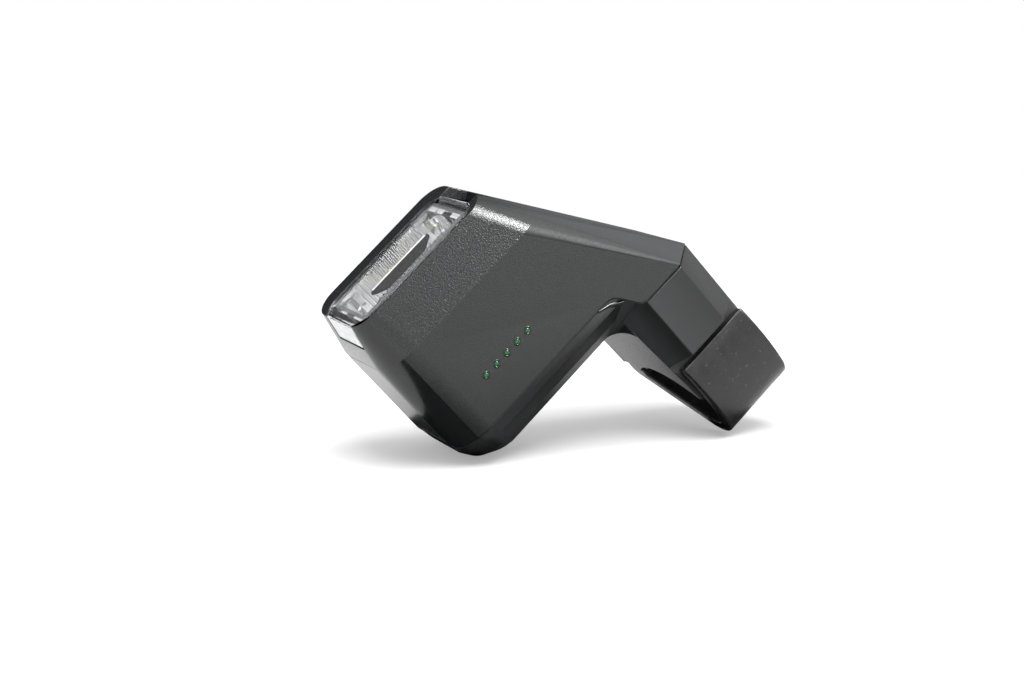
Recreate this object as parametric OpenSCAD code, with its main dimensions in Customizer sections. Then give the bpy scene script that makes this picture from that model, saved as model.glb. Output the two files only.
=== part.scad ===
// Handlebar bike headlight. All sizes are in millimetres.
// The origin is the centre of the handlebar, X runs to the rider's left, -Y is the way the beam goes, Z is up.

/* [Head] */
// Distance from the handlebar centre to the front rim
reach = 87.2; // [84:0.1:96]
// Left face of the head, from the middle of the arm
head_left = 61.5; // [58:0.1:66]
// Height of the head's top face above the handlebar centre
head_top = 19; // [18:0.1:22]
// Height of the head from bottom to top
head_h = 36; // [34:0.1:40]
// Depth of the head from the front rim to its flat back
head_depth = 49.8; // [47:0.1:54]
// Radius of the long left corners
left_round = 9; // [6:0.1:10]
// Depth of the tapered front band
band_depth = 11.4; // [8:0.1:14]
// Drop of the front band at the top and at the bottom
band_drop = 4; // [2:0.1:5]
// Inward lean of the front band on the left side
band_side = 2.2; // [1:0.1:4]
// Corner radius of the front rim
rim_round = 6; // [4:0.1:7]
// Wall of the front housing and of the rear cover
wall = 2; // [1.6:0.1:2.4]
// Distance from the front rim to the seam on the head
seam_depth = 38.3; // [36:0.1:40]
// Distance that the seam steps back where it crosses the arm
seam_step = 7.6; // [6:0.1:9]
// Thickness of the seal in the seam
seam_gap = 0.5; // [0.3:0.05:0.8]
// Slope of the edge all round the back
back_slope = 9.6; // [7:0.1:11]

/* [Arm and strap] */
// Distance from the middle of the arm to its outer side
arm_half = 12; // [11:0.1:14]
// Width of the flat on top of the arm
arm_flat = 11.6; // [9:0.1:14]
// Drop of the arm's long chamfers
arm_drop = 5.5; // [4:0.1:7]
// Distance that the arm's inner side runs in towards its tail
arm_taper = 1.7; // [0.5:0.1:2]
// Diameter of the handlebar
bar_d = 31.8; // [30:0.1:32]
// Thickness of the rubber pad on the saddle
pad_t = 1.2; // [1:0.1:1.6]
// Left edge of the rubber strap, from the middle of the arm
strap_left = 9.8; // [9:0.1:10]
// Right edge of the rubber strap, from the middle of the arm
strap_right = 11.2; // [10.5:0.1:12]
// Thickness of the rubber strap
strap_t = 3.2; // [2.6:0.1:3.6]
// Place of the strap pin along the beam
pin_y = -12; // [-12.6:0.1:-11.8]
// Height of the strap pin
pin_z = -15.3; // [-16:0.1:-15.2]
// Diameter of the strap pin
pin_d = 2.5; // [2:0.1:2.8]
// Rubber around the strap pin
eye_wall = 2; // [1.8:0.1:2.2]
// Distance from the strap pin to the strap's outer face
strap_sweep = 34.5; // [34:0.1:36]
// Radius of the strap's rear bend, at its middle
bend_r = 6.4; // [5:0.1:8]
// Place of the slot at the strap's end, along the beam
slot_y = -22.2; // [-24:0.1:-21]
// Clearance between the strap and the arm
strap_gap = 0.3; // [0.25:0.05:0.5]
// Width of the lug that holds the strap pin
lug_w = 7; // [5:0.1:9]

/* [Lens and lamp] */
// Width of the clear front
lens_w = 38.4; // [34:0.1:39]
// Height of the clear front
lens_h = 21.7; // [17:0.1:22]
// Thickness of the clear lens
lens_t = 1.8; // [1.4:0.1:2.4]
// Clearance round the lens
lens_gap = 0.4; // [0.2:0.05:0.6]
// Depth of the side windows
window_depth = 6; // [4:0.1:7]
// Height of the side windows
window_h = 14.6; // [10:0.1:16]
// Thickness of the lens seal
seal_t = 0.8; // [0.5:0.1:1.2]
// Depth of the reflector
bowl_depth = 12; // [10:0.1:13]
// Wall of the reflector
bowl_wall = 1.2; // [0.9:0.1:1.6]
// Length of the dark lamp bridge
bridge_l = 18; // [12:0.1:20]

/* [Gauge and controls] */
// Number of charge dots
dot_count = 5; // [3:1:5]
// Distance between charge dots
dot_pitch = 3.5; // [3:0.1:4]
// Diameter of a charge dot
dot_d = 1.9; // [1.4:0.1:2.2]
// Diameter of the power button
button_d = 9; // [7:0.1:10]
// Travel of the power button
button_travel = 0.8; // [0.5:0.1:1]
// Width of the charging flap
flap_w = 13; // [11.5:0.1:14]
// Height of the charging flap
flap_h = 7.4; // [6:0.1:8]

/* [Inside] */
// Diameter of the battery cell
cell_d = 18.2; // [16:0.1:18.4]
// Length of the battery cell
cell_l = 35; // [30:0.5:36]
// Thickness of the circuit board
board_t = 1.2; // [1:0.1:1.6]
// Diameter of the small screws
screw_d = 2; // [1.6:0.1:2.5]

/* [Hidden] */
skin = 0.1;
fit = 0.05;
fine = 64;
arc = 40;
front_y = -reach;
crease_y = front_y + band_depth;
seam_y = front_y + seam_depth;
arm_seam_y = seam_y + seam_step;
back_y = front_y + head_depth;
head_bottom = head_top - head_h;
head_mid = (head_top + head_bottom) / 2;
arm_w = 2 * arm_half;
// The right side runs straight from the front rim to the outside of the arm
rim_right = 17.5;
rim_left = head_left - band_side;
crease_right = 10.4;
crease_flat = 17.6;
end_flat = -arm_flat / 2;
crease_drop = 6.8;
edge_r = 0.8;
crease_edge = 5;

// Bare panel on the left face
panel_t = 0.8;
panel_y0 = crease_y + 0.8;
panel_y1 = seam_y - 1.2;
panel_z0 = head_bottom + left_round + 0.3;
panel_z1 = head_top - left_round - 0.3;
seal_in = 0.6;

// Clear front and its place
lens_mid_x = rim_left - 0.4 - lens_w / 2;
lens_x0 = lens_mid_x - lens_w / 2;
lens_x1 = lens_mid_x + lens_w / 2;
lens_rim = 1;
lens_mid_z = head_top - band_drop - lens_rim - lens_h / 2;
// The reflector ends lower than the lens, whose top edge lies close to the rim
lens_over = 3.3;
bowl_h = lens_h - lens_over;
bowl_mid_z = lens_mid_z - lens_over / 2;
lens_back = front_y + lens_t;
lens_round = 5;
window_mid_z = bowl_mid_z + 1;
left_lean = atan(band_side / band_depth);
right_lean = atan((rim_right - crease_right) / band_depth);
window_t = 1.4;

// Handlebar saddle, strap and pin
bar_r = bar_d / 2;
pad_in = bar_r + fit;
pad_out = pad_in + pad_t;
saddle_r = pad_out + fit;
pad_from = 128;
pad_to = 216;
pin_r = pin_d / 2;
eye_r = pin_r + fit + eye_wall;
sweep_mid = strap_sweep - strap_t / 2;
lane_r = strap_sweep - strap_t - strap_gap;
bend_from = 73;
eye_mid = eye_r - strap_t / 2;
bend_to = bend_from - 90 - asin((bend_r - eye_mid) / (sweep_mid - bend_r));
bend_y = pin_y + (sweep_mid - bend_r) * cos(bend_from);
bend_z = pin_z + (sweep_mid - bend_r) * sin(bend_from);
strap_end = slot_y + 1.8;
strap_w = strap_left + strap_right;
strap_mid = strap_left - strap_w / 2;
fork_r = eye_r + 1.4;
pin_l = strap_w - 3.6;
tail_y = -10;

arm_foot = 1.5;
arm_core = slot_y - seam_y - 1.2;

// Fillet between the back of the head and the arm
corner_r = 5;
corner_steps = 6;
corner_grade = 0.86;
corner_rise = 4;
corner_sink = 0.02;
corner_x = arm_half - arm_taper * corner_r / (tail_y - back_y) + corner_r - corner_sink;
corner_at = [corner_x, back_y + corner_r - corner_sink];

// Inside of the head
seal_back = lens_back + seal_t;
bowl_front = seal_back;
bowl_back = bowl_front + bowl_depth + bowl_wall;
bridge_y = bowl_front + 1.2;
bridge_tip = 0.6;
bridge_rise = 1.6;
bridge_h = 6.8;
bridge_w = 4.8;
bridge_edge = 0.4;
chip_w = 2.8;
chip_t = 0.7;
chip_h = 1.4;
lead_d = 1;
lead_gap = 0.8;
sink_t = 4.2;
sink_back = bowl_back + sink_t;
cell_r = cell_d / 2;
cell_y = sink_back + cell_r + 1.4;
cell_z = head_bottom + wall + 0.9 + cell_r;
cell_x = 28;
board_z = cell_z + cell_r + 2.6;
board_top = board_z + board_t;
board_back = back_y - wall - 2.4;
board_x0 = 12;
board_x1 = head_left - wall - 6.5;
dots_x = 38.6;
dots_y = front_y + 28.5;
dot_led_h = 0.8;
dot_led_w = 1.6;
dot_led_d = 1.2;
button_x = 24;
button_z = head_mid;
button_r = button_d / 2;
button_out = 1.1;
button_flange = 1;
flap_x = 43;
flap_t = 1.4;
flap_gap = 0.3;
hinge_r = 0.8;
port_w = 8.9;
port_h = 3.2;
port_l = 7.3;
port_z = board_z - port_h / 2;
flap_z = port_z;
screw_r = screw_d / 2;
head_r = screw_r * 1.8;
screw_head = 1.2;
screw_short = 0.4;
strip_t = 0.3;
strip_w = 4;
left_screw = [head_left - left_round - 2.8, seam_y - 2.6];
arm_screw = [3.6, arm_seam_y - 3.4];
tab_h = 3.4;
board_screws = [[board_x0 + 5.5, cell_y - 4.5], [board_x1 - 3.5, cell_y - 4.5]];
board_post_d = 5;
board_bite = 6;
sink_post_d = 4;
sink_post_l = 6;
sink_web = 4;
sink_w = 30;
sink_span = 24;
sink_plate = 1.6;
sink_lift = 0.5;
fin_pitch = 4;
fin_t = 1.2;
sink_z = head_bottom + wall + sink_lift + sink_post_d / 2;
sink_screws = [for (side = [-1, 1]) [lens_mid_x + side * sink_span / 2, sink_z]];

// Piece to draw, or all of them

// How far the corner fillet's edge lies below the top, at one of its steps
function corner_low(i, drop) = drop + (back_slope - drop) * i / corner_steps + skin;

// How far out the slope over the fillet reaches at a height above the top
function corner_run(i, drop, rise) = corner_r + (corner_low(i, drop) + rise) / corner_grade;

// Point round the fillet's centre
function corner_point(i, r) =
    corner_at + r * [cos(180 + 90 * i / corner_steps), sin(180 + 90 * i / corner_steps)];

// Thin disc that a shell is stretched over
module disc(x, y, z, r) {
    translate([x, y, z]) rotate([-90, 0, 0]) cylinder(r1 = r, r2 = r - skin, h = skin, $fn = r > 2 ? arc : 16);
}

// Cross-section of the head at one depth: round corners on the left, a chamfer on the right
module slice(y, x0, flat, x1, z0, z1, r, drop, edge) {
    for (z = [z0 + r, z1 - r]) disc(x1 - r, y, z, r);
    right_edges(y, x0, flat, z0, z1, drop, edge);
}

// Right-hand edges of such a cross-section
module right_edges(y, x0, flat, z0, z1, drop, edge) {
    for (z = [z0 + edge, z1 - edge]) disc(max(flat, x0 + edge), y, z, edge);
    for (z = [z0 + drop, z1 - drop]) disc(x0 + edge, y, z, edge);
}

// Outer form of the front housing, drawn in by a wall
module front_form(by) {
    hull() {
        for (x = [rim_right + rim_round, rim_left - rim_round])
            for (z = [head_bottom + band_drop + rim_round, head_top - band_drop - rim_round])
                disc(x, front_y + (by > 0 ? lens_t : 0), z, rim_round - by);
        slice(crease_y, crease_right + by, crease_flat, head_left - by,
              head_bottom + by, head_top - by, left_round - by, crease_drop, by > 0 ? edge_r : crease_edge);
        right_edges(arm_seam_y, -arm_half + by, end_flat + by, head_bottom + by, head_top - by, arm_drop, edge_r);
        slice(arm_seam_y + 4, -arm_half + by, end_flat + by, head_left - by,
              head_bottom + by, head_top - by, left_round - by, arm_drop, edge_r);
    }
}

// Outer form of the back of the head, sloping in all round
module back_form(by) {
    hull() {
        back_slice(seam_y - 1, by, 0, 0, 0);
        back_slice(seam_y + 3.4, by, 0.6, back_slope * 0.14, 0);
        back_slice(back_y - 3.8 - by, by, 2.6, back_slope * 0.53, 1);
        back_slice(back_y - by - skin, by, back_slope * 0.68, back_slope, 3);
    }
}

// Cross-section of the back of the head, drawn in at the side and at the top and bottom
module back_slice(y, by, side, rise, round_off) {
    slice(y, 0, 0, head_left - by - side, head_bottom + by + rise, head_top - by - rise,
          left_round - by - round_off, left_round, edge_r);
}

// Side of the seam where the front housing lies, moved back by a distance
module seam_zone(back) {
    translate([0, 0, head_bottom - 10])
        linear_extrude(head_h + 20)
            polygon(concat([[head_left + 9, front_y - 9], [head_left + 9, seam_y + back]],
                           turn([14, seam_y + back], [11.6, seam_y + back], [10.3, seam_y + 2.05 + back]),
                           turn([7.6, arm_seam_y - 1.26 + back], [6.8, arm_seam_y + back],
                                [4.8, arm_seam_y + back]),
                           [[-arm_half - 9, arm_seam_y + back], [-arm_half - 9, front_y - 9]]));
}

// Points of a soft bend from one point to another, by way of a corner
function turn(from, corner, to) =
    [for (i = [0 : 4]) let (t = i / 4) (1 - t) * (1 - t) * from + 2 * t * (1 - t) * corner + t * t * to];

// Clear front: a plate with rounded corners, grown by a clearance
module lens_plate(more, y0, y1) {
    r = lens_round + more;
    w = lens_w / 2 + more - r;
    h = lens_h / 2 + more - r;
    translate([lens_mid_x, y0, lens_mid_z]) rotate([-90, 0, 0]) linear_extrude(y1 - y0) {
        square([2 * w, 2 * (h + r)], center = true);
        square([2 * (w + r), 2 * h], center = true);
        for (x = [-w, w]) for (z = [-h, h]) translate([x, z]) circle(r, $fn = fine);
    }
}

// Side window on the left face of the front band, grown by a clearance
module left_window(more, t) {
    translate([rim_left, front_y, window_mid_z]) rotate([0, 0, -left_lean])
        translate([-t, -0.4, -window_h / 2 - more])
            cube([t + more * 4, window_depth + 0.4 + more, window_h + 2 * more]);
}

// Side window on the right face, in a shallow pocket
module right_window(more, t) {
    translate([lens_x0, front_y, window_mid_z]) rotate([0, 0, right_lean])
        translate([0, -0.4, -window_h / 2 - more]) cube([t, window_depth + 0.4 + more, window_h + 2 * more]);
}

// Pocket in the right front corner that leaves the right window free
module window_pocket() {
    translate([lens_x0 + fit, front_y, window_mid_z]) rotate([0, 0, right_lean])
        translate([-9, -4, -window_h / 2 - lens_gap])
            cube([9, window_depth + 4 + lens_gap, window_h + 2 * lens_gap]);
}

// Upright screw with a pan head, pointing up
module screw_up(x, y, z, l) {
    translate([x, y, z]) cylinder(r = screw_r, h = l, $fn = fine);
    translate([x, y, z - screw_head]) difference() {
        cylinder(r = head_r, h = screw_head, $fn = fine);
        translate([0, 0, -skin]) cylinder(r = screw_r * 0.7, h = screw_head / 2, $fn = 6);
    }
}

// Front half of the case, with the band, the top face, the dot holes and the inner posts
module front_housing() {
    color("#2b2c2e") difference() {
        union() {
            difference() {
                intersection() { front_form(0); seam_zone(0); }
                front_form(wall);
            }
            for (s = board_screws)
                translate([s[0], s[1], board_top])
                    cylinder(d = board_post_d, h = head_top - wall / 2 - board_top, $fn = fine);
            for (s = sink_screws) intersection() {
                translate([s[0], bowl_back - sink_post_l, s[1]]) rotate([-90, 0, 0]) {
                    cylinder(d = sink_post_d, h = sink_post_l, $fn = fine);
                    translate([-sink_web / 2, 0, 0]) cube([sink_web, s[1] - head_bottom, sink_post_l]);
                }
                front_form(wall / 2);
            }
        }
        lens_plate(lens_gap, front_y - 1, lens_back + 1);
        left_window(lens_gap, window_t + fit);
        right_window(lens_gap, window_t + fit);
        window_pocket();
        for (i = [0 : dot_count - 1])
            translate([dots_x + (i - (dot_count - 1) / 2) * dot_pitch, dots_y, head_top - wall - 1])
                cylinder(d = dot_d + 2 * fit, h = wall + 2, $fn = fine);
        translate([head_left - panel_t - fit, panel_y0 - fit, panel_z0 - fit])
            cube([2, panel_y1 - panel_y0 + 2 * fit, panel_z1 - panel_z0 + 2 * fit]);
        for (s = board_screws)
            translate([s[0], s[1], board_top - 1]) cylinder(r = screw_r, h = board_bite, $fn = fine);
        for (s = sink_screws) translate([s[0], bowl_back - sink_post_l + 1, s[1]])
            rotate([-90, 0, 0]) cylinder(r = screw_r, h = sink_post_l + 1, $fn = fine);
        for (s = [left_screw, arm_screw]) {
            translate([s[0], s[1], head_bottom - 1]) cylinder(r = screw_r + fit, h = wall + 2, $fn = fine);
            translate([s[0], s[1], head_bottom - 1]) cylinder(r = head_r + 0.2, h = 2.2, $fn = fine);
        }
    }
}

// Bare panel let into the left face
module side_panel() {
    color("#3a3b3d") translate([head_left - panel_t, panel_y0, panel_z0])
        cube([panel_t, panel_y1 - panel_y0, panel_z1 - panel_z0]);
}

// Long profile of the arm: a block with chamfered edges whose inner side runs in
module arm_form() {
    f = arm_flat / 2;
    difference() {
        translate([0, tail_y, 0]) rotate([90, 0, 0]) linear_extrude(tail_y - seam_y)
            polygon([[-arm_half, head_bottom + arm_foot], [-arm_half, head_top - arm_drop], [-f, head_top],
                     [f, head_top], [arm_half, head_top - arm_drop], [arm_half, head_bottom + arm_foot],
                     [arm_half - arm_foot, head_bottom], [arm_foot - arm_half, head_bottom]]);
        translate([0, 0, head_bottom - 1]) linear_extrude(head_h + 2)
            polygon([[arm_half, back_y], [arm_half - arm_taper, tail_y], [arm_half - arm_taper, 9], [arm_w, 9],
                     [arm_w, back_y]]);
    }
}

// Fillet between the back of the head and the inner side of the arm, sloped at the top and the bottom
module inner_corner() {
    difference() {
        translate([0, 0, head_bottom + skin]) linear_extrude(head_h - 2 * skin)
            polygon(concat([corner_at], [for (i = [0 : corner_steps])
                corner_point(i, corner_run(i, arm_drop, -skin))]));
        translate([corner_at[0], corner_at[1], head_bottom - 1])
            cylinder(r = corner_r, h = head_h + 2, $fn = fine);
        corner_slope(head_top, 1, arm_drop);
        corner_slope(head_bottom, -1, arm_foot);
    }
}

// Room over that fillet, which opens out from its edge to the top or the bottom of the case
module corner_slope(edge, side, drop) {
    hull() {
        translate([corner_at[0], corner_at[1], edge + side * corner_rise]) cube(skin, center = true);
        for (i = [-1 : corner_steps + 1]) {
            low = corner_point(i, corner_r);
            high = corner_point(i, corner_run(i, drop, corner_rise));
            translate([low[0], low[1], edge - side * corner_low(i, drop)]) cube(corner_sink, center = true);
            translate([high[0], high[1], edge + side * corner_rise]) cube(corner_sink, center = true);
        }
    }
}

// Rear half of the case, with the arm, the saddle for the handlebar and the lugs of the strap pin
module rear_cover() {
    color("#232426") difference() {
        union() {
            difference() {
                union() { back_form(0); arm_form(); inner_corner(); }
                seam_zone(seam_gap);
                difference() {
                    back_form(wall);
                    translate([-arm_half, arm_seam_y - 8, head_bottom]) cube([arm_half, 40, head_h]);
                }
                translate([-arm_half + 3, seam_y - 1, head_bottom + 3])
                    cube([arm_w - 6, arm_core, head_h - 8.4]);
            }
            translate([flap_x - flap_w / 2 - 2, back_y - wall - 2, flap_z - flap_h / 2 - 2])
                cube([flap_w + 4, 2.4, flap_h + 4]);
            for (s = [left_screw, arm_screw]) translate([s[0] - 2.6, s[1] - 2.6, head_bottom + wall + fit])
                cube([5.2, 8.4, tab_h]);
        }
        translate([-arm_w, 0, 0]) rotate([0, 90, 0]) cylinder(r = saddle_r, h = 2 * arm_w, $fn = fine);
        for (side = [-1, 1]) translate([strap_mid + side * (lug_w / 2 + arm_w / 2), pin_y, pin_z])
            rotate([0, 90, 0]) cylinder(r = eye_r + strap_gap, h = arm_w, center = true, $fn = fine);
        strap_lane();
        translate([strap_mid, pin_y, pin_z]) rotate([0, 90, 0])
            cylinder(r = pin_r, h = 2 * arm_w, center = true, $fn = fine);
        button_hole();
        flap_recess();
        for (s = [left_screw, arm_screw])
            translate([s[0], s[1], head_bottom]) cylinder(r = screw_r, h = wall + tab_h + 1, $fn = fine);
    }
}

// Room over the tail of the arm where the strap's end lies
module strap_lane() {
    difference() {
        translate([-arm_w, slot_y, 0]) cube([2 * arm_w, 40, 60]);
        translate([-arm_w - 1, pin_y, pin_z]) rotate([0, 90, 0])
            cylinder(r = lane_r, h = 2 * arm_w + 2, $fn = fine);
    }
}

// Stepped hole for the power button
module button_hole() {
    translate([button_x, back_y - wall - 3, button_z]) rotate([-90, 0, 0])
        cylinder(r = button_r + 0.3, h = wall + 5, $fn = fine);
}

// Shallow recess, groove and mouth for the charging flap
module flap_recess() {
    translate([flap_x - flap_w / 2 - flap_gap, back_y - flap_t - flap_gap, flap_z - flap_h / 2 - flap_gap])
        cube([flap_w + 2 * flap_gap, 4, flap_h + 2 * flap_gap]);
    translate([flap_x - flap_w / 2 - flap_gap, back_y, flap_z - flap_h / 2]) rotate([0, 90, 0])
        cylinder(r = hinge_r + flap_gap, h = flap_w + 2 * flap_gap, $fn = fine);
    translate([flap_x, back_y - wall - 4, port_z]) rotate([-90, 0, 0]) port_outline(0.2, wall + 5);
}

// Flat-sided oval of the charging port
module port_outline(more, l) {
    r = port_h / 2;
    linear_extrude(l) {
        square([port_w - port_h, port_h + 2 * more], center = true);
        for (x = [-1, 1]) translate([x * (port_w / 2 - r), 0]) circle(r + more, $fn = fine);
    }
}

// Rubber seal that fills the seam between the two halves of the case
module housing_seal() {
    color("#101010") difference() {
        intersection() {
            difference() { front_form(seal_in); front_form(wall); }
            seam_zone(seam_gap);
        }
        seam_zone(0);
    }
}

// Clear lens with its two side windows
module lens() {
    color("#dfe8ee", 0.4) {
        lens_plate(0, front_y, lens_back);
        intersection() { left_window(0, window_t); left_room(); }
        right_window(0, window_t);
    }
}

// Space outside the front band is left free of the window's corner
module left_room() {
    translate([rim_left, front_y, window_mid_z]) rotate([0, 0, -left_lean])
        translate([-window_t, 0, -window_h]) cube([window_t, window_depth, 2 * window_h]);
}

// Black frame that carries the lens from behind
module lens_seal() {
    x0 = lens_x0 + 1.8;
    x1 = lens_x1 - 2.8;
    h = bowl_h + 1.2;
    color("#141414") difference() {
        translate([x0, lens_back, bowl_mid_z - h / 2]) cube([x1 - x0, seal_t, h]);
        translate([x0 + 1, lens_back - 1, bowl_mid_z - bowl_h / 2 + 1])
            cube([x1 - x0 - 2, seal_t + 2, bowl_h - 2]);
    }
}

// One half of the trough-shaped reflector, upper for 1 and lower for -1
module bowl_half(side) {
    r = (bowl_h / 2 - 1) + 0.4;
    w = lens_w - 7.4;
    slit = 2.2;
    difference() {
        translate([lens_mid_x - w / 2 - bowl_wall, bowl_front, bowl_mid_z + (side > 0 ? slit : -r - bowl_wall)])
            cube([w + 2 * bowl_wall, bowl_depth + bowl_wall, r + bowl_wall - slit]);
        translate([lens_mid_x - w / 2, bowl_front, bowl_mid_z]) scale([1, bowl_depth / r, 1]) rotate([0, 90, 0])
            cylinder(r = r, h = w, $fn = fine);
    }
}

// Upper half of the reflector
module reflector_upper() {
    color("#d8dadc") bowl_half(1);
}

// Lower half of the reflector
module reflector_lower() {
    color("#d8dadc") bowl_half(-1);
}

// Dark spindle just behind the lens, on a stem that runs back through the slit
module led_bridge() {
    color("#1a1a1b") {
        hull() {
            for (x = [-1, 1]) translate([lens_mid_x + x * bridge_l / 2, bridge_y - bridge_rise + bridge_tip, bowl_mid_z])
                sphere(bridge_tip, $fn = 16);
            translate([lens_mid_x - 2, bridge_y - bridge_rise, bowl_mid_z - bridge_edge / 2])
                cube([4, bridge_edge, bridge_edge]);
            translate([lens_mid_x - bridge_w / 2, bridge_y + bridge_rise - bridge_edge, bowl_mid_z - bridge_h / 2])
                cube([bridge_w, bridge_edge, bridge_h]);
        }
        translate([lens_mid_x - 3, bridge_y, bowl_mid_z - 1.9]) cube([6, bowl_back - bridge_y, 3.8]);
    }
}

// Two light chips on the back of the spindle
module main_leds() {
    color("#f4e27a") for (z = [-1, 1])
        translate([lens_mid_x - chip_w / 2, bridge_y + bridge_rise, bowl_mid_z + z * 2.7 - chip_h / 2])
            cube([chip_w, chip_t, chip_h]);
}

// Finned metal plate behind the reflector
module heat_sink() {
    plate_z = sink_z - sink_post_d / 2;
    plate_h = board_z - 0.6 - plate_z;
    color("#b9bcc0") difference() {
        union() {
            translate([lens_mid_x - sink_w / 2, bowl_back, plate_z]) cube([sink_w, sink_plate, plate_h]);
            for (i = [-2 : 2]) translate([lens_mid_x + i * fin_pitch - fin_t / 2, bowl_back, plate_z])
                cube([fin_t, sink_t, plate_h]);
        }
        for (s = sink_screws) translate([s[0], bowl_back - 1, s[1]]) rotate([-90, 0, 0])
            cylinder(r = screw_r + fit, h = sink_plate + 2, $fn = fine);
    }
}

// Two screws that hold the plate to its posts
module sink_screws() {
    color("#9a9da1") for (s = sink_screws) translate([s[0], bowl_back + sink_plate, s[1]]) rotate([90, 0, 0])
        screw_up(0, 0, 0, sink_post_l - screw_short);
}

// Two wires from the board down to the lamp plate
module led_leads() {
    color("#a02020") for (x = [-lead_gap, lead_gap])
        translate([lens_mid_x + fin_pitch / 2 + x, bowl_back + sink_plate + lead_d / 2 + fit, bowl_mid_z])
            cylinder(d = lead_d, h = board_z - bowl_mid_z, $fn = 24);
}

// Light guides of the charge dots
module gauge_lights() {
    color("#43c83c") for (i = [0 : dot_count - 1])
        translate([dots_x + (i - (dot_count - 1) / 2) * dot_pitch, dots_y, board_top + dot_led_h])
            cylinder(d = dot_d, h = head_top - board_top - dot_led_h, $fn = fine);
}

// Small lights on the board, under the guides
module gauge_leds() {
    color("#e8f0d8") for (i = [0 : dot_count - 1])
        translate([dots_x + (i - (dot_count - 1) / 2) * dot_pitch - dot_led_w / 2, dots_y - dot_led_d / 2, board_top])
            cube([dot_led_w, dot_led_d, dot_led_h]);
}

// Circuit board over the cell
module main_board() {
    color("#1f5a38") difference() {
        translate([board_x0, sink_back - 2.4, board_z])
            cube([board_x1 - board_x0, board_back - sink_back + 2.4, board_t]);
        for (s = board_screws) translate([s[0], s[1], board_z - 1]) cylinder(r = screw_r + fit, h = 4, $fn = fine);
    }
}

// Two screws that hold the board under its posts
module board_screws() {
    color("#9a9da1") for (s = board_screws) screw_up(s[0], s[1], board_z, board_bite - screw_short);
}

// Round cell that lies across the head
module battery_cell() {
    color("#2f6fb0") translate([cell_x - cell_l / 2, cell_y, cell_z]) rotate([0, 90, 0])
        cylinder(d = cell_d, h = cell_l, $fn = fine);
}

// Two metal strips from the ends of the cell up to the board
module battery_tabs() {
    color("#c8c9cb") for (x = [cell_x - cell_l / 2 - strip_t, cell_x + cell_l / 2])
        translate([x, cell_y - strip_w / 2, cell_z - strip_w / 2]) cube([strip_t, strip_w, board_z - cell_z + strip_w / 2]);
}

// Tray that holds the cell on the floor of the housing
module battery_cradle() {
    color("#4a4b4e") difference() {
        translate([cell_x - cell_l / 2, cell_y - cell_r * 0.8, head_bottom + wall])
            cube([cell_l, cell_r * 1.5, cell_r * 0.75]);
        translate([cell_x - cell_l, cell_y, cell_z]) rotate([0, 90, 0])
            cylinder(r = cell_r + fit, h = 2 * cell_l, $fn = fine);
    }
}

// Metal shell and tongue of the charging port, under the rear edge of the board
module charge_port() {
    color("#b4b7ba") translate([flap_x, board_back - port_l + 1, port_z]) rotate([-90, 0, 0]) {
        difference() {
            port_outline(0, port_l);
            translate([0, 0, 1]) port_outline(-0.35, port_l);
        }
        translate([-3.2, -0.35, 0]) cube([6.4, 0.7, port_l - 1]);
    }
}

// Rubber flap over the charging port, on a hinge roll along its lower edge
module port_cover() {
    color("#1c1d1e") {
        translate([flap_x - flap_w / 2, back_y - flap_t, flap_z - flap_h / 2]) cube([flap_w, flap_t, flap_h]);
        translate([flap_x - flap_w / 2, back_y, flap_z - flap_h / 2]) rotate([0, 90, 0])
            cylinder(r = hinge_r, h = flap_w, $fn = fine);
    }
}

// Round push button with a collar inside the wall
module power_button() {
    color("#303133") translate([button_x, back_y + button_out, button_z]) rotate([90, 0, 0]) {
        cylinder(r = button_r, h = button_out + wall + 0.2, $fn = fine);
        translate([0, 0, button_out + wall + 0.2]) cylinder(r = button_r + 1, h = button_flange, $fn = fine);
    }
}

// Switch on the board that the button pushes
module button_switch() {
    switch_front = back_y - wall - 0.2 - button_flange - button_travel - 0.2;
    color("#d0d0cc") translate([button_x - 3, board_back - 4.4, board_z - 6])
        cube([6, switch_front - board_back + 4.4, 6]);
}

// Two screws that join the halves from below
module housing_screws() {
    color("#8f9296") for (s = [left_screw, arm_screw]) screw_up(s[0], s[1], head_bottom + screw_head, 6);
}

// Flat ring sector between two radii and two angles
module sector(y, z, r0, r1, a0, a1) {
    far = 3 * r1;
    step = (a1 - a0) / 3;
    translate([y, z]) intersection() {
        difference() {
            circle(r1, $fn = fine);
            circle(r0, $fn = fine);
        }
        polygon([[0, 0], for (i = [0 : 3]) [far * cos(a0 + i * step), far * sin(a0 + i * step)]]);
    }
}

// Side profile drawn across the arm, about a middle and as wide as asked
module across(mid, w) {
    translate([mid - w / 2, 0, 0]) rotate([90, 0, 90]) linear_extrude(w) children();
}

// Rubber pad that the handlebar lies against
module bar_pad() {
    color("#161616") across(-0.5, arm_w - 4) sector(0, 0, pad_in, pad_out, pad_from, pad_to);
}

// Points along an arc in the side profile
function bow(y, z, r, a0, a1, steps) =
    [for (i = [0 : steps]) let (a = a0 + (a1 - a0) * i / steps) [y + r * cos(a), z + r * sin(a)]];

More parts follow.
